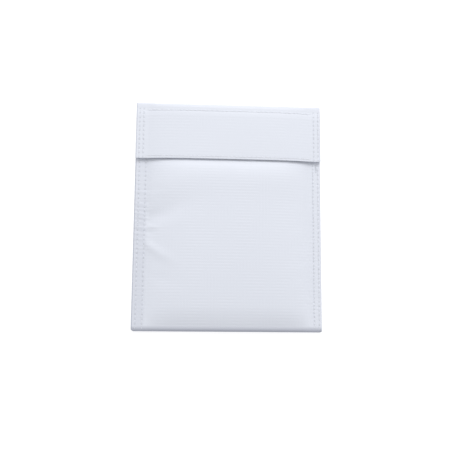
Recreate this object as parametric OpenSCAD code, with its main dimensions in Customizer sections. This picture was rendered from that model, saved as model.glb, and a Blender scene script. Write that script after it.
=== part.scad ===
// Fire-resistant battery safe bag: a flat pouch of coated glass cloth with two rows of
// stitching down each side, and a flap that folds over the front and closes it with
// hook-and-loop tape. It lies on its back. Millimetres.
// Origin: centre of the bag's outline, on the surface that it lies on.
// +X to the right, +Y towards the flap's fold, +Z up out of the front.

/* [Bag] */
// Width across the side seams
bag_w = 180; // [170:1:200]
// Height from the bottom fold to the flap's fold
bag_h = 220; // [200:1:260]
// Thickness of one layer of coated cloth
cloth_t = 0.55; // [0.4:0.05:0.6]
// Height of the front's outside at its fullest point
belly_z = 11; // [10:0.1:16]
// How much lower the front is where it meets the bottom fold
bottom_drop = 2.5; // [1:0.1:3]
// How much more it rolls down over its last stretch
roll_drop = 2.6; // [1:0.1:3]
// Depth of the rounded fold at the bottom
bottom_fold_d = 6; // [4:0.5:8]

/* [Side seams] */
// Width of the sewn band down each side
seam_w = 12; // [11:0.5:16]
// How far the seams' underside stands off the surface below
seam_lift = 1.2; // [0.8:0.1:2]
// Left edge to the body's outer row of stitches
left_outer_in = 3.7; // [2:0.1:5]
// Left edge to the body's inner row of stitches
left_inner_in = 10; // [7:0.1:10.5]
// Right edge to the body's outer row of stitches
right_outer_in = 2.5; // [2:0.1:5]
// Right edge to the body's inner row of stitches
right_inner_in = 7.3; // [7:0.1:10.5]

/* [Mouth] */
// Flap's fold to the edge of the mouth
mouth_in = 7; // [6.5:0.1:8]
// Height of the mouth lip's outside at the middle
lip_z = 6.6; // [6.4:0.1:7]
// Width of the cloth turned in at the mouth
mouth_hem_w = 10; // [8:0.5:14]

/* [Hook-and-loop tape] */
// Width of both tapes
tape_w = 25; // [20:1:30]
// Flap's edge to the tapes
tape_in = 6.5; // [5:0.5:9]
// Thickness of a tape's woven base, which is bare along both edges
base_t = 0.5; // [0.4:0.05:0.6]
// Thickness of the loop tape with its loops
loop_t = 1.2; // [0.8:0.1:1.4]
// Thickness of the hook tape with its hooks
hook_t = 1; // [0.8:0.1:1.1]
// Width of the bare edge that the tape is sewn along
selvage_w = 2; // [1.5:0.1:3]

/* [Flap] */
// Length of the flap from its fold to its edge
flap_l = 55.5; // [52:0.5:60]
// Depth of the rounded fold at the top
top_fold_d = 5; // [4.5:0.1:5.5]
// Height of the line that the flap turns about
hinge_z = 5.5; // [5.4:0.1:5.9]
// Flap's edge to the row of stitches above it
flap_row_in = 2.4; // [2:0.1:5]
// Flap's fold line to the row of stitches below it
flap_top_row_in = 2.6; // [0.8:0.1:5]
// Left edge to the flap's outer row of stitches
flap_left_outer_in = 3.3; // [2:0.1:5]
// Left edge to the flap's inner row of stitches
flap_left_inner_in = 7.2; // [6:0.1:10.5]
// Right edge to the flap's outer row of stitches
flap_right_outer_in = 2.5; // [2:0.1:5]
// Right edge to the flap's inner row of stitches
flap_right_inner_in = 6.8; // [6:0.1:10.5]

/* [Stitches] */
// Distance from one stitch to the next
stitch_pitch = 4.4; // [3.5:0.1:6]
// Distance from one stitch to the next in the right inner row
fine_pitch = 3.5; // [3.2:0.1:6]
// Length of thread that shows in one stitch
stitch_l = 2.7; // [2:0.1:3]
// Width of the thread
thread_w = 0.7; // [0.5:0.1:0.9]
// How far the thread stands proud
thread_h = 0.22; // [0.1:0.02:0.25]

/* [Hidden] */

cloth_white = [0.91, 0.93, 0.96];
cloth_shade = [0.84, 0.86, 0.90];
thread_grey = [0.74, 0.76, 0.80];
tape_white = [0.80, 0.82, 0.85];

// Clearances: between layers of one body, and between bodies that move apart
layer_gap = 0.05;
run_gap = 0.3;
layer = cloth_t + layer_gap;

// Places across the bag, from the sewn bands: the back slopes up to them over slope_w, and
// the lip, the tapes and the tapes' rows of stitches stop short of them
slope_w = 8;
lip_side_gap = 0.5;
tape_side_gap = 3;
tape_row_end = 2;
cross_row_over = 1;
half_w = bag_w / 2;
band_x = half_w - seam_w;
flat_x = band_x - slope_w;
lip_x = band_x - lip_side_gap;
tape_x = band_x - tape_side_gap;
hem_x = half_w - cloth_t;

// Places along the bag. The crease that the mouth lip lifts about lies under the flap.
crease_in = 3;
mouth_row_in = 2;
top_y = bag_h / 2;
bottom_y = top_y - bottom_fold_d;
fold_y = top_y - top_fold_d;
mouth_y = top_y - mouth_in;
flap_edge_y = top_y - flap_l;
crease_y = flap_edge_y + crease_in;
tape_y = flap_edge_y + tape_in;

// Backtacks: short stitches sewn close together over the end of a row
backtack_last = 4;
backtack_pitch = 1.5;
backtack_stitch_l = 1.1;
left_backtack_in = 4.7;
left_backtack_y = mouth_y - 9;
right_backtack_in = 4.4;
right_backtack_y = flap_edge_y - 10;

// Heights. The seam holds the back, two turned-in edges and the front.
seam_top_z = seam_lift + 4 * layer;
side_power = 4;
rise_l = 30;
drop_power = 4;
roll_l = 18;
flap_z = lip_z + layer_gap + loop_t + run_gap + hook_t + layer_gap + layer + cloth_t;

// Stations across the bag, close enough together to follow its curve
flat_steps = 12;
inner_x = [for (i = [0 : flat_steps]) -flat_x + 2 * flat_x * i / flat_steps];
all_x = concat([-half_w, -band_x], inner_x, [band_x, half_w]);
lip_stations = concat([-lip_x], inner_x, [lip_x]);
tape_stations = concat([-tape_x], inner_x, [tape_x]);
function stops(from, to, count) = [for (i = [0 : count - 1]) from + (to - from) * i / count];
front_y = concat(stops(-bottom_y, roll_l - bottom_y, 5),
    stops(roll_l - bottom_y, crease_y - rise_l, 7),
    stops(crease_y - rise_l, crease_y - run_gap, 5), [crease_y - run_gap]);
tape_step = 0.2;
tape_stops = [tape_y, tape_y + selvage_w, tape_y + selvage_w + tape_step,
    tape_y + tape_w - selvage_w - tape_step, tape_y + tape_w - selvage_w, tape_y + tape_w];
arc_steps = 8;
// Angle that each half of the top fold stops short of the line between them
hinge_gap_a = 4;

// 1 at the middle of the bag, falling to 0 at the sewn bands
function across(x) = 1 - pow(min(abs(x), band_x) / band_x, side_power);
// Underside of the back, flat but for its two raised sides
function back_z(x) = seam_lift * min(max(abs(x) - flat_x, 0) / (band_x - flat_x), 1);
// Height of the front's outside along the middle
function crown_z(y) =
    let (rise = min(max((crease_y - y) / rise_l, 0), 1), drop = max(-y, 0) / bottom_y,
        roll = max(roll_l - bottom_y - y, 0) / roll_l)
    lip_z + (belly_z - lip_z) * (1 - pow(1 - rise, 2)) - bottom_drop * pow(drop, drop_power)
        - roll_drop * pow(roll, 2);
// Outside of the front, of the mouth lip, and of the flap
front_z = function (x, y) seam_top_z + (crown_z(y) - seam_top_z) * across(x);
lip_top_z = function (x, y) seam_top_z + (lip_z - seam_top_z) * across(x);
flap_top_z = function (x, y) flap_z - lip_z + lip_top_z(x, y);
// The face that lies a distance below another, and the face that the hook tape lies on
below = function (face, distance) function (x, y) face(x, y) - distance;
lining_z = below(flap_top_z, 2 * layer);
// Height of a tape's section: its bare base along both edges, its full thickness between
function tape_height(y, full) =
    let (in = min(y - tape_y, tape_y + tape_w - y)) in > selvage_w ? full : base_t;

// A layer's section at one station: along its outside, then back along its inside
function layer_ring(x, ys, outside, inside) = concat(
    [for (y = ys) [x, y, outside(x, y)]],
    [for (i = [len(ys) - 1 : -1 : 0]) [x, ys[i], inside(x, ys[i])]]);

// A fold's section at one station: an arc of an ellipse from angle a0 to a1, cloth_t thick
function arc_ring(x, y, z, deep, high, a0, a1) =
    let (turn = [for (i = [0 : arc_steps]) a0 + (a1 - a0) * i / arc_steps])
    concat(
        [for (a = turn) [x, y + deep * cos(a), z + high * sin(a)]],
        [for (i = [arc_steps : -1 : 0])
            [x, y + (deep - cloth_t) * cos(turn[i]), z + (high - cloth_t) * sin(turn[i])]]);

// One solid through a list of rings that all have the same number of points. A ring's
// outside comes first, and each of its points faces one of the inside at the ring's end.
module skin(rings) {
    count = len(rings[0]);
    last = (len(rings) - 1) * count;
    sides = [for (i = [0 : len(rings) - 2], j = [0 : count - 1])
        let (a = i * count + j, b = i * count + (j + 1) % count)
        [a, b, b + count, a + count]];
    caps = [for (j = [0 : count / 2 - 2])
        each [[count - 1 - j, count - 2 - j, j + 1, j],
            [last + j, last + j + 1, last + count - 2 - j, last + count - 1 - j]]];
    polyhedron([for (ring = rings) each ring], concat(sides, caps), convexity = 6);
}

// A layer of cloth or tape between two faces
module sheet(stations, ys, outside, inside) {
    skin([for (x = stations) layer_ring(x, ys, outside, inside)]);
}

// A layer of cloth, with some number of other layers over it
module cloth(stations, ys, outside, layers_over = 0) {
    top = below(outside, layers_over * layer);
    sheet(stations, ys, top, below(top, cloth_t));
}

// One stitch, lying along Y
module stitch() {
    translate([-thread_w / 2, -stitch_l / 2, 0]) cube([thread_w, stitch_l, thread_h]);
}

// Stitches along Y from y0 to y1 at height z
module row_along(x, y0, y1, z, pitch = stitch_pitch) {
    count = floor((y1 - y0) / pitch);
    for (i = [0 : count]) translate([x, y0 + i * pitch, z]) stitch();
}

// Stitches across the bag, each tilted to lie a little over a face
module row_across(reach, y, face) {
    count = floor(2 * reach / stitch_pitch);
    for (i = [0 : count]) {
        x = (i - count / 2) * stitch_pitch;
        slope = (face(x + 1, y) - face(x - 1, y)) / 2;
        translate([x, y, face(x, y) + 2 * layer_gap]) rotate([0, -atan(slope), 0])
            rotate([0, 0, 90]) stitch();
    }
}

// A body seam's row: needle thread on the front, bobbin thread on the back
module seam_row(x, pitch = stitch_pitch) {
    row_along(x, -bottom_y + stitch_l, mouth_y - stitch_l, seam_top_z + layer_gap, pitch);
    row_along(x, -bottom_y + stitch_l, mouth_y - stitch_l,
        seam_lift - layer_gap - thread_h, pitch);
}

// A flap hem's row
module flap_row(x) {
    row_along(x, flap_edge_y + stitch_l, fold_y - stitch_l,
        flap_top_z(half_w, 0) + layer_gap);
}

// A short run of stitches sewn over again, beside a seam row
module backtack(x, y) {
    for (i = [0 : backtack_last])
        translate([x, y + i * backtack_pitch, seam_top_z + layer_gap])
            cube([thread_w, backtack_stitch_l, thread_h]);
}

// Cloth of the back, which the bag lies on
module back_panel() {
    color(cloth_white) rotate([90, 0, 0])
        translate([0, 0, -fold_y]) linear_extrude(fold_y + bottom_y) polygon([
            [-half_w, seam_lift], [-band_x, seam_lift], [-flat_x, 0], [flat_x, 0],
            [band_x, seam_lift], [half_w, seam_lift], [half_w, seam_lift + cloth_t],
            [band_x, seam_lift + cloth_t], [flat_x, cloth_t], [-flat_x, cloth_t],
            [-band_x, seam_lift + cloth_t], [-half_w, seam_lift + cloth_t]]);
}

// Cloth of the bottom, turned up from the back into the front
module bottom_fold() {
    color(cloth_white) skin([for (x = all_x)
        let (low = back_z(x), high = front_z(x, -bottom_y))
        arc_ring(x, -bottom_y - layer_gap, (low + high) / 2, bottom_fold_d - layer_gap,
            (high - low) / 2, 270, 90)]);
}

// Cloth of the front, up to the crease under the flap's edge
module front_panel() {
    color(cloth_white) cloth(all_x, front_y, front_z);
}

// The back's and the front's edges, turned in and sewn between them
module seam_allowance() {
    translate([band_x, -bottom_y, seam_lift + layer])
        cube([seam_w - cloth_t, bottom_y + mouth_y, 2 * layer - layer_gap]);
}

module left_seam_allowance() {
    color(cloth_shade) mirror([1, 0, 0]) seam_allowance();
}

module right_seam_allowance() {
    color(cloth_shade) seam_allowance();
}

// The front's sewn-down corner beside the mouth
module mouth_corner() {
    translate([band_x, crease_y, seam_top_z - cloth_t])
        cube([seam_w, mouth_y - crease_y, cloth_t]);
}

module left_mouth_corner() {
    color(cloth_white) mirror([1, 0, 0]) mouth_corner();
}

module right_mouth_corner() {
    color(cloth_white) mouth_corner();
}

// Lower half of the top fold, from the back up to the line that the flap turns about
module back_fold() {
    color(cloth_white) skin([for (x = all_x)
        arc_ring(x, fold_y + layer_gap, hinge_z, top_fold_d - layer_gap,
            hinge_z - back_z(x), 270, 360 - hinge_gap_a)]);
}

module left_outer_stitches() {
    color(thread_grey) seam_row(-half_w + left_outer_in);
}

module left_inner_stitches() {
    color(thread_grey) seam_row(-half_w + left_inner_in);
}

module right_outer_stitches() {
    color(thread_grey) seam_row(half_w - right_outer_in);
}

module right_inner_stitches() {
    color(thread_grey) seam_row(half_w - right_inner_in, fine_pitch);
}

// The left backtack is at the mouth; the right one shows just below the flap
module left_backtack() {
    color(thread_grey) backtack(-half_w + left_backtack_in, left_backtack_y);
}

module right_backtack() {
    color(thread_grey) backtack(half_w - right_backtack_in, right_backtack_y);
}

// Front cloth from the crease to the mouth, which lifts to open the pouch
module lip_panel() {
    color(cloth_white) cloth(lip_stations, [crease_y, mouth_y], lip_top_z);
}

// Cloth turned in along the mouth
module mouth_hem() {
    color(cloth_shade) cloth(lip_stations, [mouth_y - mouth_hem_w, mouth_y], lip_top_z, 1);
}

module mouth_hem_stitches() {
    color(thread_grey) row_across(tape_x, mouth_y - mouth_hem_w + mouth_row_in, lip_top_z);
}

// Soft half of the hook-and-loop tape, on the mouth lip
module loop_tape() {
    color(tape_white) sheet(tape_stations, tape_stops,
        function (x, y) lip_top_z(x, y) + layer_gap + tape_height(y, loop_t),
        function (x, y) lip_top_z(x, y) + layer_gap);
}

// A row along the bare edge of the loop tape
module loop_row(y) {
    row_across(tape_x - tape_row_end, y,
        function (x, y) lip_top_z(x, y) + layer_gap + base_t);
}

module loop_upper_stitches() {
    color(thread_grey) loop_row(tape_y + tape_w - selvage_w / 2);
}

module loop_lower_stitches() {
    color(thread_grey) loop_row(tape_y + selvage_w / 2);
}

// Upper half of the top fold, which turns with the flap
module flap_fold() {
    color(cloth_white) skin([for (x = all_x)
        arc_ring(x, fold_y + layer_gap, hinge_z, top_fold_d - layer_gap,
            flap_top_z(x, 0) - hinge_z, hinge_gap_a, 90)]);
}

// Outer cloth of the flap
module flap_panel() {
    color(cloth_white) cloth(all_x, [flap_edge_y, fold_y], flap_top_z);
}

// The flap's cloth, turned under at its edge and carried up to the fold
module flap_lining() {
    color(cloth_shade) cloth(concat([-hem_x], [for (i = [1 : len(all_x) - 2]) all_x[i]],
        [hem_x]), [flap_edge_y + cloth_t, fold_y - layer_gap], flap_top_z, 1);
}

// The flap's side edge, both layers of it turned under and sewn
module flap_side_hem() {
    translate([band_x + layer_gap, flap_edge_y + cloth_t, flap_top_z(half_w, 0) - 4 * layer])
        cube([hem_x - band_x - layer_gap, fold_y - flap_edge_y - cloth_t, 2 * layer - layer_gap]);
}

module flap_left_hem() {
    color(cloth_shade) mirror([1, 0, 0]) flap_side_hem();
}

module flap_right_hem() {
    color(cloth_shade) flap_side_hem();
}

// Stiff half of the hook-and-loop tape, on the flap's lining
module hook_tape() {
    color(tape_white) sheet(tape_stations, tape_stops, lining_z,
        function (x, y) lining_z(x, y) - tape_height(y, hook_t));
}

// A row along the bare edge of the hook tape
module hook_row(y) {
    row_across(tape_x - tape_row_end, y,
        below(lining_z, base_t + 4 * layer_gap + thread_h));
}

module hook_upper_stitches() {
    color(thread_grey) hook_row(tape_y + tape_w - selvage_w / 2);
}

module hook_lower_stitches() {
    color(thread_grey) hook_row(tape_y + selvage_w / 2);
}

module flap_left_outer_stitches() {
    color(thread_grey) flap_row(-half_w + flap_left_outer_in);
}

module flap_left_inner_stitches() {
    color(thread_grey) flap_row(-half_w + flap_left_inner_in);
}

module flap_right_outer_stitches() {
    color(thread_grey) flap_row(half_w - flap_right_outer_in);
}

module flap_right_inner_stitches() {
    color(thread_grey) flap_row(half_w - flap_right_inner_in);
}

// Rows across the flap, which hold the two ends of its turned-under layer
module flap_upper_stitches() {
    color(thread_grey) row_across(band_x + cross_row_over, fold_y - flap_top_row_in, flap_top_z);
}

module flap_lower_stitches() {
    color(thread_grey) row_across(band_x + cross_row_over, flap_edge_y + flap_row_in, flap_top_z);
}

back_panel();
bottom_fold();
front_panel();
left_seam_allowance();
right_seam_allowance();
left_mouth_corner();
right_mouth_corner();
back_fold();
left_outer_stitches();
left_inner_stitches();
right_outer_stitches();
right_inner_stitches();
left_backtack();
right_backtack();
lip_panel();
mouth_hem();
mouth_hem_stitches();
loop_tape();
loop_upper_stitches();
loop_lower_stitches();
flap_fold();
flap_panel();
flap_lining();
flap_left_hem();
flap_right_hem();
hook_tape();
hook_upper_stitches();
hook_lower_stitches();
flap_left_outer_stitches();
flap_left_inner_stitches();
flap_right_outer_stitches();
flap_right_inner_stitches();
flap_upper_stitches();
flap_lower_stitches();
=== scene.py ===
import math

import bpy
import numpy as np
from mathutils import Matrix, Vector


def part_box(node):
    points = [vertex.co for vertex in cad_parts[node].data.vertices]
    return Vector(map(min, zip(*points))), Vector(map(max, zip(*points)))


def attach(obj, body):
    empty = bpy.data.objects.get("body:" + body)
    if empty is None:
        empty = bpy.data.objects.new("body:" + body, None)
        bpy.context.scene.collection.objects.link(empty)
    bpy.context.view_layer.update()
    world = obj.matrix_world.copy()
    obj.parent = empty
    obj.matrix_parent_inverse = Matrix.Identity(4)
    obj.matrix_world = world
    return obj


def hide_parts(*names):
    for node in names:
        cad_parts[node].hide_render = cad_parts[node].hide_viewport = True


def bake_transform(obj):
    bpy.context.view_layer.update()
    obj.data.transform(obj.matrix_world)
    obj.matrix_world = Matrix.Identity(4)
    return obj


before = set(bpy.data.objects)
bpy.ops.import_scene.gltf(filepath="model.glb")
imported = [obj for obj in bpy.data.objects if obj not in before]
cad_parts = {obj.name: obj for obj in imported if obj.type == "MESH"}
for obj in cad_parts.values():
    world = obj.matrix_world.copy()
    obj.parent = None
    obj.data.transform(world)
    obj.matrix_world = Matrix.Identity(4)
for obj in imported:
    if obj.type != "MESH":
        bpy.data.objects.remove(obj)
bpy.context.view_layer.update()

# The bag is worked out in millimetres and written to the meshes in metres.
MM = 0.001


def low(node):
    """Lowest corner of a CAD node, in millimetres."""
    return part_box(node)[0] / MM


def high(node):
    """Highest corner of a CAD node, in millimetres."""
    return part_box(node)[1] / MM


# --- Sizes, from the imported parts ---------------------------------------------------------

HALF_W = high("front_panel").x
BAND_X = low("right_mouth_corner").x
FLAT_X = BAND_X - 8
BOTTOM_Y = low("back_panel").y
BOTTOM_FOLD_D = BOTTOM_Y - low("bottom_fold").y
FOLD_Y = high("flap_panel").y
TOP_FOLD_D = high("flap_fold").y - FOLD_Y
FLAP_EDGE_Y = low("flap_panel").y
CREASE_Y = low("lip_panel").y
MOUTH_Y = high("lip_panel").y
MOUTH_HEM_Y = low("mouth_hem").y
LIP_X = high("lip_panel").x
BELLY_Z = high("front_panel").z
SEAM_TOP_Z = high("left_mouth_corner").z
LIP_Z = high("lip_panel").z
FLAP_Z = high("flap_panel").z
HINGE_Z = low("flap_fold").z
TAPE_X = high("loop_tape").x
TAPE_LOW_Y = low("loop_tape").y
TAPE_HIGH_Y = high("loop_tape").y

# The cloth, and how far apart its layers lie where it is folded
CLOTH = 0.45
LAYER = 0.6
SEAM_LOW_Z = SEAM_TOP_Z - 4 * LAYER
# The flap's layers are pressed closer together
FLAP_LAYER = 0.5
# Depth of the centre of the turned side edge, of one layer and of the flap's two layers
TURN_1 = CLOTH / 2 + LAYER / 2
FLAP_TURN = CLOTH / 2 + FLAP_LAYER / 2
TURN_2 = CLOTH / 2 + FLAP_LAYER * 1.5
# Where the pouch's cloth ends on the back and the flap's begins
JOIN_Y = 100.0

# The shape of the filled front: much like the CAD model's, but fuller across where it rises and
# a little lower
SIDE_POWER = 4
RISE_POWER = 6
RISE_L = 36
# Part of the rise is spread over a greater length
SLOW_SHARE = 0.15
SLOW_L = 90
LOWERED = 0.8
# A crest a little below the flap's edge, placed to suit the shading there in the photograph
CREST = 0.8
CREST_IN = 15
CREST_W = 20
CREST_START_L = 12
BOTTOM_DROP = 2.5
DROP_POWER = 4
# The front rolls down into the bottom fold over its last stretch
ROLL_L = 18
ROLL_DROP = 2.2
# The crease stands up a little, under the flap's edge
CREASE_RISE = 0.75
CREASE_L = 3
# The flap's sewn sides lie a little closer to the seams than its middle does to the front
FLAP_DROOP = 0.2
# The flap bends down a little before its top fold
BROW_L = 8
BROW_DROP = 0.4
# Slow waves all over the front
WAVE_H = 0.2
# The wrinkles die away over these lengths, towards the crease and towards the bottom
CALM_TOP_L = 12
CALM_BOTTOM_L = 14
# Gathers in the sewn bands: their height, their share everywhere, how far inside the bands they
# start, and where along the left band they are strongest
PUCKER_H = 0.085
PUCKER_SHARE = 0.25
PUCKER_START = 4
TUG_Y = -4
TUG_L = 26

# Stitches
PITCH = 4.4
FINE_PITCH = 3.5
THREAD_R = 0.25
STITCH_RISE = 0.1
# Half a stitch as a share of the pitch, how far its middle stands up as a share of the thread,
# how deep its ends dive, and how far all of it is pulled in
STITCH_HALF = 0.47
STITCH_SHOW = 0.38
STITCH_DIVE = 0.45
STITCH_SINK = 0.12
HOLE_R = 0.65
HOLE_DEPTH = 0.3
GROOVE_DEPTH = 0.04
GROOVE_W = 0.9
# The holes and grooves of the rows across the bag are fainter
CROSS_SHARE = 0.42
# How much of a hole's shade and of a dent shows on the cloth's inner face
INNER_HOLE = 0.3
INNER_DENT = 0.35
BACKTACK_PITCH = 1.5

# The hook-and-loop tapes, sewn down along their bare edges
TAPE_BASE = 0.5
SELVAGE_W = 2.0
LOOP_H = 1.1
LOOP_STEP = 0.7
HOOK_H = 0.6
HOOK_PITCH = 1.6
HOOK_R = 0.1
HOOK_CURL_R = 0.2
# Unevenness of the loops, depth of the needle holes in each tape, and the gap below a tape
FLUFF = 0.3
LOOP_HOLE_DEPTH = 0.2
HOOK_HOLE_DEPTH = 0.15
TAPE_GAP = 0.03


# --- Surfaces -----------------------------------------------------------------------------

def stops(start, end, step):
    """Evenly spaced values from start to end, about step apart."""
    return np.linspace(start, end, max(int(round(abs(end - start) / step)), 1) + 1)


def ease(t):
    """From 0 to 1 as t goes from 0 to 1, level at both ends."""
    t = np.clip(t, 0, 1)
    return t * t * (3 - 2 * t)


def across(x, power=SIDE_POWER):
    """1 along the middle of the bag, falling to 0 at the sewn bands."""
    return 1 - (np.minimum(abs(x), BAND_X) / BAND_X) ** power


def back_z(x):
    """Underside of the back."""
    return SEAM_LOW_Z * ease((abs(x) - FLAT_X) / (BAND_X - FLAT_X))


def crown_z(y):
    """Height of the front along the middle."""
    quick = 1 - (1 - np.clip((CREASE_Y - y) / RISE_L, 0, 1)) ** 3
    slow = 1 - (1 - np.clip((CREASE_Y - y) / SLOW_L, 0, 1)) ** 2
    drop = np.maximum(-y, 0) / -BOTTOM_Y
    roll = np.clip((BOTTOM_Y + ROLL_L - y) / ROLL_L, 0, 1)
    lift = CREASE_RISE * ease((CREASE_Y - y) / CREASE_L)
    # the crest's own height at the crease is taken away there
    at_crease = np.exp(-((CREST_IN / CREST_W) ** 2))
    crest = CREST * (np.exp(-(((y - CREASE_Y + CREST_IN) / CREST_W) ** 2))
                     - at_crease * ease((y - CREASE_Y) / CREST_START_L + 1))
    full = BELLY_Z - LOWERED - CREASE_RISE - LIP_Z
    return (LIP_Z + lift + crest + full * (quick + SLOW_SHARE * (slow - quick))
            - BOTTOM_DROP * drop ** DROP_POWER - ROLL_DROP * roll ** 2)


def ridge(x, y, start, end, width, height):
    """A soft ridge from start, where it is strongest, to end, where it has died away."""
    run = np.subtract(end, start)
    length = np.hypot(*run)
    along = ((x - start[0]) * run[0] + (y - start[1]) * run[1]) / length ** 2
    off = ((x - start[0]) * run[1] - (y - start[1]) * run[0]) / length
    fade = (1 - ease(along)) * ease(along * 3 + 1)
    return height * fade * np.exp(-((off / width) ** 2))


def wrinkles(x, y):
    """What the front does besides bulging.

    The dip and the pulls beside the left seam are placed where the photograph shows them.
    """
    left = -BAND_X
    z = ridge(x, y, (left + 6, 22), (-22, 42), 12, 0.4)
    z = z + ridge(x, y, (left + 2, -4), (-22, 20), 9, -1.15)
    z = z + ridge(x, y, (left, -11), (left + 18, -14), 2.4, 0.5)
    z = z + ridge(x, y, (left, -17), (left + 14, -20), 2.6, -0.25)
    z = z + ridge(x, y, (left - 1, -28), (left + 36, -51), 4.4, 0.95)
    z = z + ridge(x, y, (left + 16, -60), (-30, -68), 8, -0.25)
    slow = np.sin(x / 19 + 0.6) * np.sin(y / 27 + 1.1) + 0.6 * np.sin((x + y) / 33 + 2.0)
    return z + WAVE_H * slow * np.sqrt(across(x))


def smooth_front_z(x, y):
    """Outside of the front without its wrinkles."""
    return (SEAM_TOP_Z + (LIP_Z - SEAM_TOP_Z) * across(x)
            + (crown_z(y) - LIP_Z) * across(x, RISE_POWER))


SIM_STEP = 3.0
# The cloth is simulated at ten times its size, where Blender's cloth behaves well
SIM_SCALE = 0.01
SIM_FRAMES = 24
SIM_QUALITY = 8
# A negative shrink makes the cloth longer than its frame
SIM_SHRINK = -0.004
SIM_BENDING = 2.0
SIM_PRESSURE = 0.6
SIM_UNEVEN = 0.03
SIM_CAP = 0.9
# How much of the simulated rise is used, and how much more beside the middle of the left seam
SIM_SHARE = 0.12
SIM_LEFT_SHARE = 0.28
SIM_LEFT_L = 32
SIM_LEFT_START = 15
SIM_LEFT_EASE = 35


def simulate_front():
    """How far a loose front, held along its seams and filled, leaves its smooth shape.

    Gives the places across and along the bag, and the rise at each crossing of them.
    """
    xs, ys = stops(-BAND_X, BAND_X, SIM_STEP), stops(BOTTOM_Y, CREASE_Y, SIM_STEP)
    x, y = np.meshgrid(xs, ys)
    start = smooth_front_z(x, y)
    uneven = np.random.default_rng(5).normal(0, SIM_UNEVEN, x.shape)
    index = np.arange(x.size).reshape(x.shape)
    quads = np.stack([index[:-1, :-1], index[:-1, 1:], index[1:, 1:], index[1:, :-1]], -1)
    rim = (abs(x) > BAND_X - 0.1) | (y < BOTTOM_Y + 0.1) | (y > CREASE_Y - 0.1)
    points = np.stack([x, y, start + uneven * ~rim], -1).reshape(-1, 3)
    mesh = bpy.data.meshes.new("loose_front")
    mesh.from_pydata((points * SIM_SCALE).tolist(), [], quads.reshape(-1, 4).tolist())
    loose = bpy.data.objects.new("loose_front", mesh)
    scene = bpy.context.scene
    scene.collection.objects.link(loose)
    loose.vertex_groups.new(name="held").add(index[rim].tolist(), 1.0, "REPLACE")
    cloth = loose.modifiers.new("cloth", "CLOTH")
    cloth.collision_settings.use_collision = False
    settings = cloth.settings
    settings.quality = SIM_QUALITY
    settings.vertex_group_mass = "held"
    settings.shrink_min = SIM_SHRINK
    settings.bending_stiffness = SIM_BENDING
    settings.use_pressure = True
    settings.uniform_pressure_force = SIM_PRESSURE
    settings.effector_weights.gravity = 0
    for frame_number in range(1, SIM_FRAMES + 1):
        scene.frame_set(frame_number)
    made = loose.evaluated_get(bpy.context.evaluated_depsgraph_get())
    places = np.empty(3 * x.size)
    made.data.vertices.foreach_get("co", places)
    bpy.data.objects.remove(loose)
    bpy.data.meshes.remove(mesh)
    scene.frame_set(1)
    rise = places.reshape(-1, 3)[:, 2].reshape(x.shape) / SIM_SCALE - start
    return xs, ys, SIM_CAP * np.tanh(rise / SIM_CAP)


def cubic_weights(place, line):
    """Which four values of an even line a place lies among, and their shares."""
    at = np.clip((place - line[0]) / (line[1] - line[0]), 0, len(line) - 1.001)
    first = np.floor(at).astype(int)
    t = at - first
    shares = (t * (t * (2 - t) - 1) / 2, 1 + t * t * (1.5 * t - 2.5),
              t * (1 + t * (4 - 3 * t)) / 2, t * t * (t - 1) / 2)
    return [np.clip(first + k - 1, 0, len(line) - 1) for k in range(4)], shares


def loose_rise(x, y):
    """What the simulation adds to the front: a share of its rise, larger beside the left seam."""
    xs, ys, rise = LOOSE_FRONT
    x, y = np.broadcast_arrays(x, y)
    columns, column_shares = cubic_weights(x, xs)
    rows, row_shares = cubic_weights(y, ys)
    share = (SIM_SHARE + SIM_LEFT_SHARE * np.exp(-((y / SIM_LEFT_L) ** 2))
             * ease((-x - SIM_LEFT_START) / SIM_LEFT_EASE))
    return share * sum(rise[row, column] * row_share * column_share
                       for row, row_share in zip(rows, row_shares)
                       for column, column_share in zip(columns, column_shares))


def pucker(x, y):
    """Small gathers across the sewn bands, strongest on the left between two heights."""
    tug = np.exp(-(((y - TUG_Y) / TUG_L) ** 2)) * (x < 0) + PUCKER_SHARE
    inside = ease((abs(x) - BAND_X + PUCKER_START) / PUCKER_START)
    ripple = (np.sin(y * 1.3 + x * 0.15 + 1.6 * np.sin(y / 5))
              + 0.6 * np.sin(y * 0.57 + x * 0.2))
    return PUCKER_H * tug * inside * ripple


def front_z(x, y):
    """Outside of the front."""
    free = ease((CREASE_Y - y) / CALM_TOP_L) * ease((y - BOTTOM_Y) / CALM_BOTTOM_L + 0.25)
    loose = ease((BAND_X + 3 - abs(x)) / 6)
    return (smooth_front_z(x, y) + loose_rise(x, y) + wrinkles(x, y) * free * loose
            + pucker(x, y) * free)


def lip_top_z(x, y):
    """Outside of the mouth lip."""
    return SEAM_TOP_Z + (LIP_Z - SEAM_TOP_Z) * across(x) + 0 * y


def flap_top_z(x, y):
    """Outside of the flap."""
    wave = 0.15 * np.sin(x / 23 + 0.4) * np.sin((y - FLAP_EDGE_Y) / 18)
    droop = (FLAP_DROOP * ease((abs(x) - BAND_X + 10) / 12)
             + BROW_DROP * ease((y - FOLD_Y + BROW_L) / BROW_L))
    return lip_top_z(x, y) + FLAP_Z - LIP_Z + wave * across(x) - droop


# --- Stitch rows --------------------------------------------------------------------------

CAD_STITCH_L = 2.7


def row_x(node):
    """Place across the bag of a row along it."""
    return (low(node).x + high(node).x) / 2


def row_y(node, pitch):
    """Middles of the stitches of a row along the bag, as in the CAD model."""
    start, end = low(node).y + CAD_STITCH_L / 2, high(node).y - CAD_STITCH_L / 2
    return start + pitch * np.arange(int(round((end - start) / pitch)) + 1)


def cross_row(node):
    """A row across the bag: its place along the bag and the middles of its stitches."""
    count = int(round(2 * (high(node).x - CAD_STITCH_L / 2) / PITCH))
    return (low(node).y + high(node).y) / 2, (np.arange(count + 1) - count / 2) * PITCH


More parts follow.
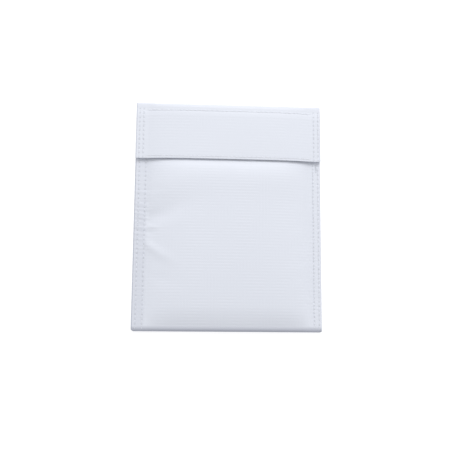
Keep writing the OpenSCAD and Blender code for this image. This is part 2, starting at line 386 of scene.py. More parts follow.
SEAM_ROWS = {node: (row_x(node), row_y(node, pitch), pitch) for node, pitch in (
    ("left_outer_stitches", PITCH), ("left_inner_stitches", PITCH),
    ("right_outer_stitches", PITCH), ("right_inner_stitches", FINE_PITCH))}
BACKTACKS = {node: (row_x(node), stops(low(node).y + 0.8, high(node).y - 0.8, BACKTACK_PITCH),
                    BACKTACK_PITCH) for node in ("left_backtack", "right_backtack")}
SEWN_ROWS = [*SEAM_ROWS.values(), *BACKTACKS.values()]
FLAP_ROWS = {node: (row_x(node), row_y(node, PITCH), PITCH) for node in (
    "flap_left_outer_stitches", "flap_left_inner_stitches",
    "flap_right_outer_stitches", "flap_right_inner_stitches")}
FLAP_CROSS_ROWS = {node: cross_row(node)
                   for node in ("flap_upper_stitches", "flap_lower_stitches")}
MOUTH_ROW = cross_row("mouth_hem_stitches")
LOOP_ROWS = {node: cross_row(node)
             for node in ("loop_upper_stitches", "loop_lower_stitches")}
HOOK_ROWS = {node: cross_row(node)
             for node in ("hook_upper_stitches", "hook_lower_stitches")}


def needle(off_row, along_row, middles, pitch):
    """How much each point is in a needle hole, and in the groove of the row."""
    turn = (along_row - middles[0]) / pitch + 0.5
    off = (turn - np.round(turn)) * pitch
    inside = (along_row > middles[0] - pitch * 0.9) & (along_row < middles[-1] + pitch * 0.9)
    hole = inside * np.exp(-((off ** 2 + off_row ** 2) / HOLE_R ** 2))
    groove = inside * np.exp(-((off_row / GROOVE_W) ** 2))
    return hole, groove


def needles(x, y, along_rows, cross_rows=()):
    """Needle holes and grooves of several rows, each from 0 to 1."""
    hole, groove = 0 * (x + y), 0 * (x + y)
    for place, middles, pitch in along_rows:
        more_hole, more_groove = needle(x - place, y + 0 * x, middles, pitch)
        hole, groove = np.maximum(hole, more_hole), np.maximum(groove, more_groove)
    for place, middles in cross_rows:
        more_hole, more_groove = needle(y - place, x + 0 * y, middles, PITCH)
        hole = np.maximum(hole, CROSS_SHARE * more_hole)
        groove = np.maximum(groove, CROSS_SHARE * more_groove)
    return hole, groove


# --- Meshes -------------------------------------------------------------------------------

def new_object(name, verts, faces, material):
    """A mesh object from points in millimetres."""
    mesh = bpy.data.meshes.new(name)
    mesh.from_pydata((np.asarray(verts) * MM).tolist(), [], faces)
    mesh.materials.append(material)
    obj = bpy.data.objects.new(name, mesh)
    bpy.context.scene.collection.objects.link(obj)
    return obj


def smooth(obj, angle=50):
    """Smooth shading, with edges sharper than the angle left sharp."""
    mesh = obj.data
    mesh.polygons.foreach_set("use_smooth", [True] * len(mesh.polygons))
    mesh.set_sharp_from_angle(angle=math.radians(angle))
    return obj


def paint(obj, name, values, kind="FLOAT"):
    """A value for each point, which a material can read."""
    attribute = obj.data.attributes.new(name, kind, "POINT")
    attribute.data.foreach_set("value" if kind == "FLOAT" else "vector",
                               np.asarray(values, np.float32).ravel())


def run_lengths(points, axis):
    """Distance travelled along one axis of a grid of points."""
    steps = np.linalg.norm(np.diff(points, axis=axis), axis=2)
    pad = [(1, 0) if axis == k else (0, 0) for k in range(2)]
    return np.pad(np.cumsum(steps, axis=axis), pad)


# Painted shade: a darker tint of the cloth along its folded edges, which adds to the real shading
# there. Its share is 1 at the bottom fold, and this much elsewhere.
LEFT_TINT = 0.85
LEFT_FLAP_TINT = 0.5
RIGHT_TINT = 0.15
TOP_TINT = 0.13
# The left sewn band below the flap has a fainter painted shade, which grows downwards
BAND_TINT = 0.09
BAND_MORE_TINT = 0.11


def painted_edge_shade(points):
    """Share of the painted shade, a darker tint, at each point."""
    x, y = points[..., 0], points[..., 1]
    bottom = ease((BOTTOM_Y + 0.5 - y) / (BOTTOM_FOLD_D + 0.5))
    below = y < FLAP_EDGE_Y
    left = np.where(below, LEFT_TINT, LEFT_FLAP_TINT)
    side = ease((abs(x) - HALF_W + 1.3) / 1.0) * np.where(x < 0, left, RIGHT_TINT)
    band_share = BAND_TINT + BAND_MORE_TINT * ease((35 - y) / 40)
    band = ease((-x - BAND_X + 1) / 3) * below * band_share
    top = TOP_TINT * ease((y - FOLD_Y - 0.3) / 1.5)
    return np.maximum.reduce([bottom, side, band, top]).ravel()


def outward(verts, quads):
    """Four-sided faces that close a solid, turned over where they point into it."""
    a, b, c, d = (verts[quads[:, k]] for k in range(4))
    volume = (np.cross(b, c) * a).sum() + (np.cross(c, d) * a).sum()
    return quads if volume > 0 else quads[:, ::-1]


def cloth_mesh(name, outer, inner, material, hole, keep=None):
    """A layer of cloth between two grids of points, closed all round its edge."""
    rows, columns = outer.shape[:2]
    count = rows * columns
    index = np.arange(count).reshape(rows, columns)
    quads = np.stack([index[:-1, :-1], index[:-1, 1:], index[1:, 1:], index[1:, :-1]], -1)
    quads = quads[keep] if keep is not None else quads.reshape(-1, 4)
    edges = np.concatenate([quads[:, [k, (k + 1) % 4]] for k in range(4)])
    there = set(map(tuple, edges.tolist()))
    rim = [(b, a, a + count, b + count) for a, b in there if (b, a) not in there]
    faces = quads.tolist() + (quads[:, ::-1] + count).tolist() + sorted(rim)
    verts = np.concatenate([outer.reshape(-1, 3), inner.reshape(-1, 3)])
    faces = outward(verts, np.array(faces))
    # lengths along the cloth, which its weave follows
    middle = (outer + inner) / 2
    over = run_lengths(middle, 1)
    over = over - np.interp(0, middle[0, :, 0], over[0])
    along = np.median(run_lengths(middle, 0), axis=1)[:, None] + 0 * over
    span = np.stack([over, along, 0 * over], -1).reshape(-1, 3)
    used, renumber = np.unique(faces, return_inverse=True)
    obj = new_object(name, verts[used], renumber.reshape(-1, 4).tolist(), material)
    paint(obj, "span", np.concatenate([span, span])[used], "FLOAT_VECTOR")
    paint(obj, "hole", np.concatenate([hole.ravel(), INNER_HOLE * hole.ravel()])[used])
    paint(obj, "painted_edge_shade", painted_edge_shade(verts)[used])
    return smooth(obj)


# The mesh's columns: their spacing at a stitch row, and how far in the turned side edges begin
ROW_STEP = 0.55
TURN_START = 1.25


def side_stations(row_xs, inner_step=3.6):
    """Places across the bag, close together at the stitch rows and the sewn bands."""
    edge = HALF_W - TURN_START
    fine = np.concatenate([place + np.arange(-3, 4) * ROW_STEP for place in row_xs])
    fine = fine[abs(fine) < edge - 0.3]
    plain = np.concatenate([
        stops(-BAND_X + 14, BAND_X - 14, inner_step),
        *[side * stops(BAND_X - 12, edge, 1.5) for side in (-1, 1)]])
    near = np.min(abs(plain[:, None] - fine[None, :]), axis=1) < 0.6
    near &= abs(plain) < edge - 0.1
    xs = np.sort(np.concatenate([plain[~near], fine]))
    return xs[np.concatenate([[True], np.diff(xs) > 0.25])]


ARC_TURNS = np.radians(np.arange(20, 181, 20))
HEM_SHARES = np.linspace(0, 1, 6)[1:]


def side_profile(mains, centre, depth, sides=(-1, 1)):
    """Columns across a cloth whose side edges are turned under.

    centre is the depth, at each row, that the side edge turns about, and depth how deep the
    wanted face lies before the edge is turned. Gives the place across and the depth.
    """
    centre = np.asarray(centre, float)[:, None]
    depth = np.asarray(depth, float)[:, None]
    edge = HALF_W - centre
    arc = centre - depth
    turn, share = ARC_TURNS[None, :], HEM_SHARES[None, :]
    side_x = np.concatenate([edge + arc * np.sin(turn), edge + (BAND_X - edge) * share], 1)
    side_d = np.concatenate([centre - arc * np.cos(turn), 2 * centre - depth + 0 * share], 1)
    x, d = [mains[None, :] + 0 * depth], [depth + 0 * mains[None, :]]
    if -1 in sides:
        x.insert(0, -side_x[:, ::-1])
        d.insert(0, side_d[:, ::-1])
    if 1 in sides:
        x.append(side_x)
        d.append(side_d)
    return np.concatenate(x, 1), np.concatenate(d, 1)


def main_columns(mains, sides=(-1, 1)):
    """1 for the columns between the turned side edges, and 0 for those on them."""
    turned_count = len(ARC_TURNS) + len(HEM_SHARES)
    left = np.zeros(turned_count if -1 in sides else 0)
    right = np.zeros(turned_count if 1 in sides else 0)
    return np.concatenate([left, np.ones(len(mains)), right])[None, :]


def dented(x, depth, y, along_rows, cross_rows, face, where):
    """Depth with the stitches' dents added, and the needle holes themselves."""
    hole, groove = needles(x, y, along_rows, cross_rows)
    hole, groove = hole * where, groove * where
    dent = HOLE_DEPTH * hole + GROOVE_DEPTH * groove * (1 - hole)
    return depth + dent * (1 if face == 0 else INNER_DENT), hole


def stack(*parts):
    """Joins rows of points made of x, y and z grids."""
    return np.concatenate([np.stack(np.broadcast_arrays(x, y, z), -1) for x, y, z in parts])


# --- The pouch's cloth --------------------------------------------------------------------

# How much the bottom fold falls short at its two corners, and over what length
LEFT_CORNER_CUT = 1.3
RIGHT_CORNER_CUT = 0.6
CORNER_L = 3


def bottom_reach(x):
    """How far the bottom fold reaches, a little less at its two corners."""
    cut = np.where(x < 0, LEFT_CORNER_CUT, RIGHT_CORNER_CUT)
    return BOTTOM_FOLD_D - cut * ease((abs(x) - HALF_W + CORNER_L) / CORNER_L) ** 2


def pouch_face(face, mains):
    """One face of the pouch's cloth: back, bottom fold and front."""
    base = 0 if face == 0 else CLOTH
    where = main_columns(mains)

    back_y = stops(JOIN_Y, BOTTOM_Y, 1.2)[:, None]
    x, d = side_profile(mains, 0 * back_y[:, 0] + TURN_1, 0 * back_y[:, 0] + base)
    d, back_hole = dented(x, d, back_y, list(SEAM_ROWS.values()), (), face, where)
    back = (x, back_y + 0 * x, back_z(x) + d)

    angle = np.arange(-80, 81, 10)[:, None]
    x, d = side_profile(mains, 0 * angle[:, 0] + TURN_1, 0 * angle[:, 0] + base)
    bottom, top = back_z(x), front_z(x, BOTTOM_Y)
    half = np.radians(angle)
    # the fold carries on at the slope that the front comes down at
    slope = (front_z(x, BOTTOM_Y + 1) - top) * (angle > 0)
    out = np.cos(half)
    fold = (x, BOTTOM_Y - (bottom_reach(x) - d) * out,
            (bottom + top) / 2 + ((top - bottom) / 2 - d) * np.sin(half)
            - slope * bottom_reach(x) * out * (1 - out) ** 2)

    front_y = stops(BOTTOM_Y, CREASE_Y, 0.8)[:, None]
    x, d = side_profile(mains, 0 * front_y[:, 0] + TURN_1, 0 * front_y[:, 0] + base)
    d, front_hole = dented(x, d, front_y, SEWN_ROWS, (), face, where)
    front = (x, front_y + 0 * x, front_z(x, front_y) - d)

    hole = np.concatenate([back_hole, 0 * fold[0], front_hole])
    return stack(back, fold, front), hole


def make_pouch(material):
    """The pouch's cloth in one piece, from the flap's join round the bottom to the crease."""
    mains = side_stations([place for place, _, _ in SEAM_ROWS.values()])
    outer, hole = pouch_face(0, mains)
    inner, _ = pouch_face(1, mains)
    return cloth_mesh("pouch_cloth", outer, inner, material, hole)


# --- The mouth lip's cloth ----------------------------------------------------------------

def edge_turn(base, centre):
    """Round a cloth's turned-under edge: how far a face reaches out, and its depth."""
    angle = np.radians(np.arange(20, 161, 20))
    radius = centre - base
    return radius * np.sin(angle), centre - radius * np.cos(angle)


def lip_face(face, mains, side):
    """One face of half of the lip's cloth, from the crease to its turned-in hem's edge."""
    base = 0 if face == 0 else CLOTH
    edge = MOUTH_Y - TURN_1
    up, down = stops(CREASE_Y, edge, 1.1), stops(edge, MOUTH_HEM_Y, 1.1)
    reach, turn_d = edge_turn(base, TURN_1)
    ys = np.concatenate([up, edge + reach, down])
    depths = np.concatenate([0 * up + base, turn_d, 0 * down + 2 * TURN_1 - base])
    x, d = side_profile(mains, 0 * ys + TURN_1, depths, (side,))
    y = ys[:, None] + 0 * x
    rows = [row for row in SEAM_ROWS.values() if row[0] * side > 0]
    hem = np.arange(len(ys)) >= len(up)
    where = main_columns(mains, (side,)) * ~hem[:, None]
    d, hole = dented(x, d, y, rows, (MOUTH_ROW,), face, where)
    return stack((x, y, lip_top_z(x, y) - d)), hole, hem


def make_lip(name, side, material):
    """One half of the mouth lip's cloth, with its hem turned in."""
    mains = side_stations([place for place, _, _ in SEAM_ROWS.values()])
    mains = np.unique(np.append(mains[mains * side > 0.3], 0.0))
    outer, hole, hem = lip_face(0, mains, side)
    inner, _, _ = lip_face(1, mains, side)
    # the turned-in hem stops short of the side seam, where its corner is cut away
    x = (outer[:-1, :-1, 0] + outer[1:, 1:, 0]) / 2
    turned_in = (hem[:-1] | hem[1:])[:, None] & (abs(x) > LIP_X - 1)
    return cloth_mesh(name, outer, inner, material, hole, ~turned_in)


# --- The flap's cloth ---------------------------------------------------------------------

def flap_face(face, mains):
    """One face of the flap's cloth: back, top fold, outside, edge and lining."""
    base = 0 if face == 0 else CLOTH
    where = main_columns(mains)

    back_y = stops(JOIN_Y, FOLD_Y, 1)[:, None]
    x, d = side_profile(mains, 0 * back_y[:, 0] + TURN_1, 0 * back_y[:, 0] + base)
    d, back_hole = dented(x, d, back_y, list(SEAM_ROWS.values()), (), face, where)
    back = (x, back_y + 0 * x, back_z(x) + d)

    angle = np.arange(-80, 81, 10)[:, None]
    centre = TURN_1 + (TURN_2 - TURN_1) * ease((angle[:, 0] + 90) / 180)
    x, d = side_profile(mains, centre, 0 * angle[:, 0] + base)
    rise = np.where(angle < 0, HINGE_Z - back_z(x), flap_top_z(x, FOLD_Y) - HINGE_Z)
    half = np.radians(angle)
    fold = (x, FOLD_Y + (TOP_FOLD_D - d) * np.cos(half), HINGE_Z + (rise - d) * np.sin(half))

    edge = FLAP_EDGE_Y + FLAP_TURN
    outside, inside = stops(FOLD_Y, edge, 0.8), stops(edge, FOLD_Y - 0.4, 1)
    reach, turn_d = edge_turn(base, FLAP_TURN)
    ys = np.concatenate([outside, edge - reach, inside])
    depths = np.concatenate([0 * outside + base, turn_d, 0 * inside + 2 * FLAP_TURN - base])
    x, d = side_profile(mains, 0 * ys + TURN_2, depths)
    y = ys[:, None] + 0 * x
    near = (np.arange(len(ys)) < len(outside))[:, None]
    d, flap_hole = dented(x, d, y, list(FLAP_ROWS.values()), list(FLAP_CROSS_ROWS.values()),
                          face, where * near)
    flap = (x, y, flap_top_z(x, y) - d)
    hole = np.concatenate([back_hole, 0 * fold[0], flap_hole])
    return stack(back, fold, flap), hole


def make_flap(material):
    """The flap's cloth in one piece, from its join on the back to its lining's end."""
    mains = side_stations([place for place, _, _ in FLAP_ROWS.values()], 1.5)
    outer, hole = flap_face(0, mains)
    inner, _ = flap_face(1, mains)
    return cloth_mesh("flap_cloth", outer, inner, material, hole)


# --- Threads ------------------------------------------------------------------------------

def tube(points, radius, sides=6):
    """Points and faces of a closed tube along a short line of points."""
    points = np.asarray(points, float)
    tangent = np.gradient(points, axis=0)
    tangent /= np.linalg.norm(tangent, axis=1)[:, None]
    guide = np.array([0, 0, 1.0] if abs(tangent[:, 2]).max() < 0.95 else [1.0, 0, 0])
    first = np.cross(tangent, guide)
    first /= np.linalg.norm(first, axis=1)[:, None]
    second = np.cross(tangent, first)
    angle = np.arange(sides) * 2 * np.pi / sides
    ring = (np.cos(angle)[None, :, None] * first[:, None, :]
            + np.sin(angle)[None, :, None] * second[:, None, :])
    radius = np.broadcast_to(radius, len(points))[:, None, None]
    verts = (points[:, None, :] + ring * radius).reshape(-1, 3)
    faces = [[i * sides + j, i * sides + (j + 1) % sides, (i + 1) * sides + (j + 1) % sides,
              (i + 1) * sides + j]
             for i in range(len(points) - 1) for j in range(sides)]
    faces.append(list(reversed(range(sides))))
    faces.append([(len(points) - 1) * sides + j for j in range(sides)])
    return verts, faces


def join_parts(parts):
    """One list of points and one of faces, from several."""
    verts, faces, start = [], [], 0
    for part_verts, part_faces in parts:
        verts.append(part_verts)
        faces += [[start + k for k in face] for face in part_faces]
        start += len(part_verts)
    return np.concatenate(verts), faces


def stitch_tubes(middles, reach, up):
    """Tubes for a row of stitches.

    middles are points on the cloth, reach is half a stitch as a vector, and up points away
    from the cloth. Both ends dive into the needle holes.
    """
    share = np.linspace(-1, 1, 9)
    end = abs(share) ** 5
    lift = (STITCH_RISE + STITCH_SHOW * THREAD_R) * (1 - end) - STITCH_DIVE * end
    width = THREAD_R * (1 - 0.25 * abs(share) ** 3)
    return [tube(m + share[:, None] * r + lift[:, None] * u - STITCH_SINK * u, width)
            for m, r, u in zip(middles, reach, up)]


def along_tubes(place, middles_y, pitch, height, up=1, wobble=0.05, seed=0):
    """Stitches along the bag, at a height given by a function of x and y."""
    random = np.random.default_rng(seed)
    x = place + random.normal(0, wobble, len(middles_y))
    middles = np.stack([x, middles_y, height(x, middles_y)], -1)
    slope = (height(x, middles_y + 1) - height(x, middles_y - 1)) / 2
    half = pitch * STITCH_HALF
    reach = np.stack([random.normal(0, wobble, len(x)), 0 * x + half, slope * half], -1)
    ups = np.stack([0 * x, -slope * up, 0 * slope + up], -1)
    return stitch_tubes(middles, reach, ups / np.linalg.norm(ups, axis=1)[:, None])


def cross_tubes(place, middles_x, height, up=1, wobble=0.05, seed=0):
    """Stitches across the bag."""
    random = np.random.default_rng(seed)
    y = place + random.normal(0, wobble, len(middles_x))
    middles = np.stack([middles_x, y, height(middles_x, y)], -1)
    slope = (height(middles_x + 1, y) - height(middles_x - 1, y)) / 2
    half = PITCH * STITCH_HALF
    reach = np.stack([0 * y + half, random.normal(0, wobble, len(y)), slope * half], -1)
    ups = np.stack([-slope * up, 0 * slope, 0 * slope + up], -1)
    return stitch_tubes(middles, reach, ups / np.linalg.norm(ups, axis=1)[:, None])


def thread_piece(node, tubes, material, suffix=""):
    """The thread of one row, which stands for its CAD node."""
    verts, faces = join_parts(tubes)
    name = node.replace("_stitches", "") + "_thread" + suffix
    piece = smooth(new_object(name, verts, faces, material), 80)
    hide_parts(node)
    return piece


def seam_top(x, y):
    """Outside of the seam on the front, and of the corner beside the mouth."""
    return np.where(y < CREASE_Y, front_z(x, y), lip_top_z(x, y))


def seam_bottom(x, y):
    """Outside of the seam on the back."""
    return back_z(x) + 0 * y


def below_flap(depth):
    """The face that lies a depth under the flap's outside."""
    return lambda x, y: flap_top_z(x, y) - depth


def make_seam_threads(material):
    """The two rows of each side seam, on the front and on the back, and the backtacks."""
    for seed, (node, (place, middles, pitch)) in enumerate(SEAM_ROWS.items()):
        lower = np.append(middles[0] - pitch, middles)
        tubes = along_tubes(place, lower, pitch, seam_top, 1, 0.06, seed)
        tubes += along_tubes(place, middles, pitch, seam_bottom, -1, 0.06, seed + 20)
        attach(thread_piece(node, tubes, material), "pouch")
    for seed, (node, (place, middles, pitch)) in enumerate(BACKTACKS.items()):
        tubes = along_tubes(place, middles, pitch, seam_top, 1, 0.12, seed + 40)
        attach(thread_piece(node, tubes, material), "pouch")


def make_flap_threads(material):
    """The rows of the flap, seen on its outside and on its lining."""
    for seed, (node, (place, middles, pitch)) in enumerate(FLAP_ROWS.items()):
        tubes = along_tubes(place, middles, pitch, flap_top_z, 1, 0.05, seed + 50)
        tubes += along_tubes(place, middles, pitch, below_flap(2 * TURN_2), -1, 0.05,
                             seed + 70)
        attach(thread_piece(node, tubes, material), "flap")
    for seed, (node, (place, middles)) in enumerate(FLAP_CROSS_ROWS.items()):
        tubes = cross_tubes(place, middles, flap_top_z, 1, 0.06, seed + 90)
        inner = middles[abs(middles) < BAND_X - 2]
        tubes += cross_tubes(place, inner, below_flap(2 * FLAP_TURN), -1, 0.06, seed + 95)
        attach(thread_piece(node, tubes, material), "flap")


# --- Hook-and-loop tape -------------------------------------------------------------------

HOOK_BASE_D = 2 * FLAP_TURN + TAPE_BASE


def tape_rise(y, full):
    """Thickness of a tape: its bare base along both edges, its full height between."""
    inside = np.minimum(y - TAPE_LOW_Y, TAPE_HIGH_Y - y)
    return TAPE_BASE + (full - TAPE_BASE) * ease((inside - SELVAGE_W) / LOOP_STEP)


def tape_grid(xs, step):
    """Points over a tape, as a grid of x and one of y."""
    ys = stops(TAPE_LOW_Y, TAPE_HIGH_Y, step)
    return xs[None, :] + 0 * ys[:, None], ys[:, None] + 0 * xs[None, :]


def tape_top(x, y):
    """The loop tape's base, where it is bare."""
    return lip_top_z(x, y) + TAPE_BASE


def mouth_blend(piece):
    """Bakes the transform of a piece that lies on the mouth lip into its mesh."""
    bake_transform(piece)


def make_loop_tape(name, side, material):
    """Half of the loop tape: a woven base, and a pile of soft loops between its bare edges."""
    random = np.random.default_rng(60 + side)
    x, y = tape_grid(side * stops(0, TAPE_X, LOOP_STEP), LOOP_STEP)
    rise = tape_rise(y, LOOP_H)
    pile = (rise - TAPE_BASE) / (LOOP_H - TAPE_BASE)
    fluff = random.uniform(0, FLUFF, x.shape) * pile
    hole, _ = needles(x, y, (), list(LOOP_ROWS.values()))
    base = lip_top_z(x, y)
    tape = cloth_mesh(name, stack((x, y, base + rise - fluff - LOOP_HOLE_DEPTH * hole)),
                      stack((x, y, base + TAPE_GAP)), material, hole)
    paint(tape, "pile", np.concatenate([pile.ravel(), 0 * pile.ravel()]))
    return tape


def make_hook_base(material):
    """The hook tape's woven base, on the flap's lining."""
    x, y = tape_grid(stops(-TAPE_X, TAPE_X, 1.5), 1)
    hole, _ = needles(x, y, (), list(HOOK_ROWS.values()))
    under = below_flap(HOOK_BASE_D)(x, y) + HOOK_HOLE_DEPTH * hole
    upper = below_flap(2 * FLAP_TURN + TAPE_GAP)(x, y)
    tape = cloth_mesh("hook_base", stack((x, y, under)), stack((x, y, upper)), material, hole)
    paint(tape, "pile", np.zeros(2 * x.size))
    return tape


def make_hooks(material):
    """Rows of small hooks on the tape's base, curled to one side and the other by turns."""
    random = np.random.default_rng(61)
    turn = np.radians([0, 55, 110, 165, 215])
    side = np.concatenate([[0, 0], HOOK_CURL_R * (1 - np.cos(turn))])
    curl = HOOK_CURL_R * np.sin(turn)
    drop = np.concatenate([[-0.1, 0.15], HOOK_H - HOOK_CURL_R - HOOK_R + curl])
    tubes = []
    margin = SELVAGE_W + 0.9
    for number, y in enumerate(stops(TAPE_LOW_Y + margin, TAPE_HIGH_Y - margin, HOOK_PITCH)):
        lean = 1 if number % 2 else -1
        for x in stops(-TAPE_X + 1.4, TAPE_X - 1.4, HOOK_PITCH) + 0.4 * lean:
            root_x, root_y = x + random.normal(0, 0.05), y + random.normal(0, 0.05)
            points = np.stack([root_x + lean * side, root_y + 0 * side,
                               below_flap(HOOK_BASE_D)(root_x, root_y) - drop], -1)
            tubes.append(tube(points, HOOK_R, 4))
    verts, faces = join_parts(tubes)
    return smooth(new_object("hook_pile", verts, faces, material), 70)


def make_tapes(loop, hook, material):
    """Both tapes with their hooks, and the rows of stitches along them and along the mouth."""
    hook_base, hooks = make_hook_base(hook), make_hooks(hook)
    for piece in (hook_base, hooks):
        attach(piece, "flap")
        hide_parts("hook_tape")
    for seed, (node, (place, middles)) in enumerate(HOOK_ROWS.items()):
        tubes = cross_tubes(place, middles, below_flap(HOOK_BASE_D), -1, 0.06, seed + 100)
        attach(thread_piece(node, tubes, material), "flap")
    rows = {**{node: (*row, tape_top) for node, row in LOOP_ROWS.items()},
            "mouth_hem_stitches": (*MOUTH_ROW, lip_top_z)}
    for side, word in ((-1, "left"), (1, "right")):
        tape = make_loop_tape("loop_pile_" + word, side, loop)
        mouth_blend(tape)
        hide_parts("loop_tape")
        for seed, (node, (place, middles, height)) in enumerate(rows.items()):
            near = middles[middles * side > (0.1 if side > 0 else -0.1)]
            tubes = cross_tubes(place, near, height, 1, 0.06, seed + 110 + side)
            mouth_blend(thread_piece(node, tubes, material, "_" + word))


# --- Materials ----------------------------------------------------------------------------

class Nodes:
    """Short ways to add and join a material's nodes."""

    def __init__(self, name):
        self.material = bpy.data.materials.new(name)
        self.material.use_nodes = True
        self.tree = self.material.node_tree
        self.shader = self.tree.nodes["Principled BSDF"]

    def add(self, kind, **settings):
        made = self.tree.nodes.new(kind)
        for key, value in settings.items():
            setattr(made, key, value)
        return made

    def put(self, target, value):
        """Joins a socket to the target, or sets the target's own value."""
        if isinstance(value, bpy.types.NodeSocket):
            self.tree.links.new(value, target)
        else:
            target.default_value = value

    def math(self, operation, a, b=0.0, c=0.0):
        made = self.add("ShaderNodeMath", operation=operation)
        for target, value in zip(made.inputs, (a, b, c)):
            self.put(target, value)
        return made.outputs[0]

    def share(self, value):
        """A value kept from 0 to 1."""
        return self.math("MINIMUM", self.math("MAXIMUM", value, 0.0), 1.0)

    def split(self, vector):
        made = self.add("ShaderNodeSeparateXYZ")
        self.put(made.inputs[0], vector)
        return made.outputs

    def noise(self, vector, scale, detail=2.0, roughness=0.5):
        made = self.add("ShaderNodeTexNoise")
        self.put(made.inputs["Vector"], vector)
        self.put(made.inputs["Scale"], scale)
        self.put(made.inputs["Detail"], detail)
        self.put(made.inputs["Roughness"], roughness)
        return made.outputs["Fac"]

    def wave(self, value, period, phase=0.0):
        """A sine of a length, from -1 to 1."""
        return self.math("SINE", self.math("MULTIPLY_ADD", value, 2 * math.pi / period, phase))

    def mix(self, factor, a, b):
        made = self.add("ShaderNodeMix", data_type="RGBA")
        self.put(made.inputs[0], factor)
        self.put(made.inputs[6], a)
        self.put(made.inputs[7], b)
        return made.outputs[2]

    def bump(self, height, strength, distance):
        made = self.add("ShaderNodeBump")
        self.put(made.inputs["Strength"], strength)
        self.put(made.inputs["Distance"], distance)
        self.put(made.inputs["Height"], height)
        return made.outputs["Normal"]

    def set(self, **values):
        for key, value in values.items():
            self.put(self.shader.inputs[key.replace("_", " ")], value)


# Widths of the weave's yarns and ribs, how much of the ribs shows everywhere, and their tint
YARN = 0.96
RIB = 2.9
RIB_LEAST = 0.35
RIB_TINT = 0.045


def cloth_material():
    """White coated glass cloth: a plain weave with fine ribs under a satin coating."""
    nodes = Nodes("coated_glass_cloth")
    span = nodes.add("ShaderNodeAttribute", attribute_name="span").outputs["Vector"]
    hole = nodes.add("ShaderNodeAttribute", attribute_name="hole").outputs["Fac"]
    edge = nodes.add("ShaderNodeAttribute", attribute_name="painted_edge_shade").outputs["Fac"]
    over, along, _ = nodes.split(span)
    # each crossing of the yarns stands up, in a chequer
    crossing = nodes.math("MULTIPLY", nodes.wave(over, 2 * YARN), nodes.wave(along, 2 * YARN))
    # the ribs show most in some patches, and a faint grid in others
    patch = nodes.noise(span, 0.045, 3.0)
    strong = nodes.share(nodes.math("MULTIPLY_ADD", patch, 8.0, -3.4))
    ribs = nodes.math("MULTIPLY", nodes.wave(along, RIB),
                      nodes.math("MAXIMUM", strong, RIB_LEAST))
    columns = nodes.math("MULTIPLY", nodes.wave(over, RIB * 1.06, 0.7),
                         nodes.share(nodes.math("MULTIPLY_ADD", patch, -8.0, 3.9)))
    grain = nodes.noise(span, 2.2, 4.0, 0.6)
    height = nodes.math("MULTIPLY_ADD", crossing, 0.5, ribs)
    height = nodes.math("MULTIPLY_ADD", columns, 0.5, height)
    height = nodes.math("MULTIPLY_ADD", grain, 0.5, height)
    tint = nodes.mix(patch, (0.785, 0.815, 0.895, 1), (0.80, 0.83, 0.91, 1))
    tint = nodes.mix(nodes.math("MULTIPLY_ADD", ribs, -RIB_TINT, RIB_TINT), tint,
                     (0.62, 0.65, 0.72, 1))
    # painted shade in the needle holes, on top of their dents
    tint = nodes.mix(nodes.math("MULTIPLY", hole, 0.5), tint, (0.36, 0.38, 0.42, 1))
    # painted shade along the folded edges, mottled by the grain
    tint = nodes.mix(nodes.math("MULTIPLY", edge, nodes.math("MULTIPLY_ADD", grain, 0.3, 0.8)),
                     tint, (0.42, 0.44, 0.52, 1))
    gloss = nodes.math("MULTIPLY_ADD", crossing, 0.03,
                       nodes.math("MULTIPLY_ADD", grain, 0.14, 0.36))
    nodes.set(Base_Color=tint, Roughness=gloss, Normal=nodes.bump(height, 0.4, 0.00005),
              Specular_IOR_Level=0.35, Sheen_Weight=0.15, Sheen_Roughness=0.5)
    return nodes.material


def thread_material():
    """White sewing thread, with its ply across it."""
    nodes = Nodes("sewing_thread")
    place = nodes.add("ShaderNodeTexCoord").outputs["Object"]
    x, y, z = nodes.split(place)
    ply = nodes.wave(nodes.math("ADD", nodes.math("ADD", x, y), z), 0.0007)
    fuzz = nodes.noise(place, 2500.0)
    tint = nodes.mix(fuzz, (0.79, 0.82, 0.89, 1), (0.87, 0.89, 0.94, 1))
    nodes.set(Base_Color=tint, Roughness=nodes.math("MULTIPLY_ADD", fuzz, 0.2, 0.5),
              Normal=nodes.bump(ply, 0.5, 0.00008), Sheen_Weight=0.2)
    return nodes.material


def tape_material(name, dark, light, rough, sheen):
    """White nylon tape: a fine woven base, and fuzz where it has a pile."""
    nodes = Nodes(name)
    span = nodes.add("ShaderNodeAttribute", attribute_name="span").outputs["Vector"]
    pile = nodes.add("ShaderNodeAttribute", attribute_name="pile").outputs["Fac"]
    over, along, _ = nodes.split(span)
    twill = nodes.wave(nodes.math("ADD", over, along), 0.8)
    warp = nodes.math("MULTIPLY", nodes.wave(over, 0.55), 0.6)
    fuzz = nodes.noise(span, 3.5, 5.0, 0.75)
    tufts = nodes.noise(span, 0.9, 3.0)
    woven = nodes.math("MULTIPLY", nodes.math("ADD", twill, warp),
                       nodes.math("SUBTRACT", 1.0, pile))
    height = nodes.math("ADD", woven, nodes.math("MULTIPLY", nodes.math("ADD", fuzz, tufts),
                                                 nodes.math("MULTIPLY", pile, 3.0)))
    tint = nodes.mix(nodes.math("ADD", nodes.math("MULTIPLY", fuzz, 0.6),
                                nodes.math("MULTIPLY", tufts, 0.4)), dark, light)
    nodes.set(Base_Color=tint, Roughness=nodes.math("MULTIPLY_ADD", fuzz, 0.15, rough),
              Normal=nodes.bump(height, 0.6, 0.0001), Sheen_Weight=sheen)
    return nodes.material


# --- Camera, lights and floor -------------------------------------------------------------

CAMERA_TILT = 8.02
CAMERA_YAW = 3.33
CAMERA_ROLL = -0.96
CAMERA_FROM = (1.8, 9.1, -607.6)
LENS = 50.0
# The room's brightness at its horizon, and which way it brightens overhead
ROOM_GLOW = 0.735
ROOM_LEAN = (0.1, 0.85, 0.0)


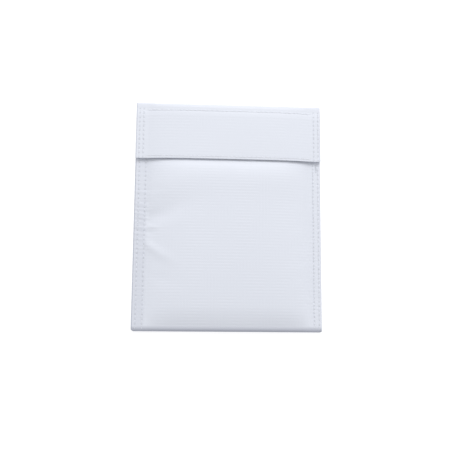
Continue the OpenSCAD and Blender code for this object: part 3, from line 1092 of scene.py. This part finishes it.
def make_camera():
    """The photograph's view: almost straight down, from a little towards the bag's bottom."""
    turn = (Matrix.Rotation(math.radians(CAMERA_ROLL), 3, "Z")
            @ Matrix.Rotation(math.radians(CAMERA_YAW), 3, "Y")
            @ Matrix.Rotation(math.radians(-CAMERA_TILT), 3, "X")).transposed()
    data = bpy.data.cameras.new("camera")
    data.lens = LENS
    data.sensor_width = 36.0
    data.clip_start, data.clip_end = 0.01, 60.0
    camera = bpy.data.objects.new("camera", data)
    bpy.context.scene.collection.objects.link(camera)
    camera.matrix_world = (Matrix.Translation(-(turn @ (Vector(CAMERA_FROM) * MM)))
                           @ turn.to_4x4())
    bpy.context.scene.camera = camera


def area_light(name, place, size, power):
    """A soft box that faces the bag."""
    data = bpy.data.lights.new(name, "AREA")
    data.shape = "RECTANGLE"
    data.size, data.size_y = size
    data.energy = power
    light = bpy.data.objects.new(name, data)
    light.location = place
    light.rotation_mode = "QUATERNION"
    light.rotation_quaternion = (-Vector(place)).to_track_quat("-Z", "Y")
    bpy.context.scene.collection.objects.link(light)


def make_floor():
    """A pale floor just below the bag, which glows, so that it stays white under the shadows."""
    nodes = Nodes("pale_floor")
    nodes.set(Base_Color=(0.43, 0.43, 0.435, 1), Roughness=0.9, Specular_IOR_Level=0.1,
              Emission_Color=(1, 1, 1, 1), Emission_Strength=0.74)
    side, z = 6000.0, -0.3
    floor = new_object("floor", [(-side, -side, z), (side, -side, z), (side, side, z),
                                 (-side, side, z)], [[0, 1, 2, 3]], nodes.material)


def make_lights():
    """A pale room that lights the bag from all round, and one soft box."""
    scene = bpy.context.scene
    scene.view_settings.view_transform = "Standard"
    scene.world = bpy.data.worlds.new("world")
    scene.world.use_nodes = True
    # above its horizon the room is brighter beyond the flap, and darker beyond the bottom
    tree = scene.world.node_tree
    background = tree.nodes["Background"]
    background.inputs["Color"].default_value = (1, 1, 1, 1)
    place = tree.nodes.new("ShaderNodeTexCoord")
    lean = tree.nodes.new("ShaderNodeVectorMath")
    lean.operation = "DOT_PRODUCT"
    lean.inputs[1].default_value = ROOM_LEAN
    height = tree.nodes.new("ShaderNodeSeparateXYZ")
    glow = tree.nodes.new("ShaderNodeMath")
    glow.operation = "MULTIPLY_ADD"
    glow.inputs[2].default_value = ROOM_GLOW
    tree.links.new(place.outputs["Generated"], lean.inputs[0])
    tree.links.new(place.outputs["Generated"], height.inputs[0])
    tree.links.new(lean.outputs["Value"], glow.inputs[0])
    tree.links.new(height.outputs["Z"], glow.inputs[1])
    tree.links.new(glow.outputs[0], background.inputs["Strength"])
    area_light("key", (0.2, 1.2, 1.2), (0.9, 0.7), 10.0)


# --- Assembly -----------------------------------------------------------------------------

make_camera()
make_floor()
make_lights()

cloth = cloth_material()
thread = thread_material()
loop_nylon = tape_material("loop_nylon", (0.78, 0.81, 0.87, 1), (0.92, 0.94, 0.98, 1), 0.8, 0.5)
hook_nylon = tape_material("hook_nylon", (0.82, 0.85, 0.90, 1), (0.92, 0.94, 0.97, 1), 0.35, 0.0)

LOOSE_FRONT = simulate_front()

pouch = make_pouch(cloth)
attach(pouch, "pouch")
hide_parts("back_panel", "bottom_fold", "front_panel", "left_seam_allowance",
            "right_seam_allowance")

for lip_name, lip_side, corner in (("lip_left", -1, "left_mouth_corner"),
                                   ("lip_right", 1, "right_mouth_corner")):
    lip = make_lip(lip_name, lip_side, cloth)
    mouth_blend(lip)
    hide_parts("lip_panel", "mouth_hem", corner)

flap = make_flap(cloth)
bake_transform(flap)
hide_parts("back_fold", "flap_fold", "flap_panel", "flap_lining", "flap_left_hem",
            "flap_right_hem")

make_seam_threads(thread)
make_flap_threads(thread)
make_tapes(loop_nylon, hook_nylon, thread)
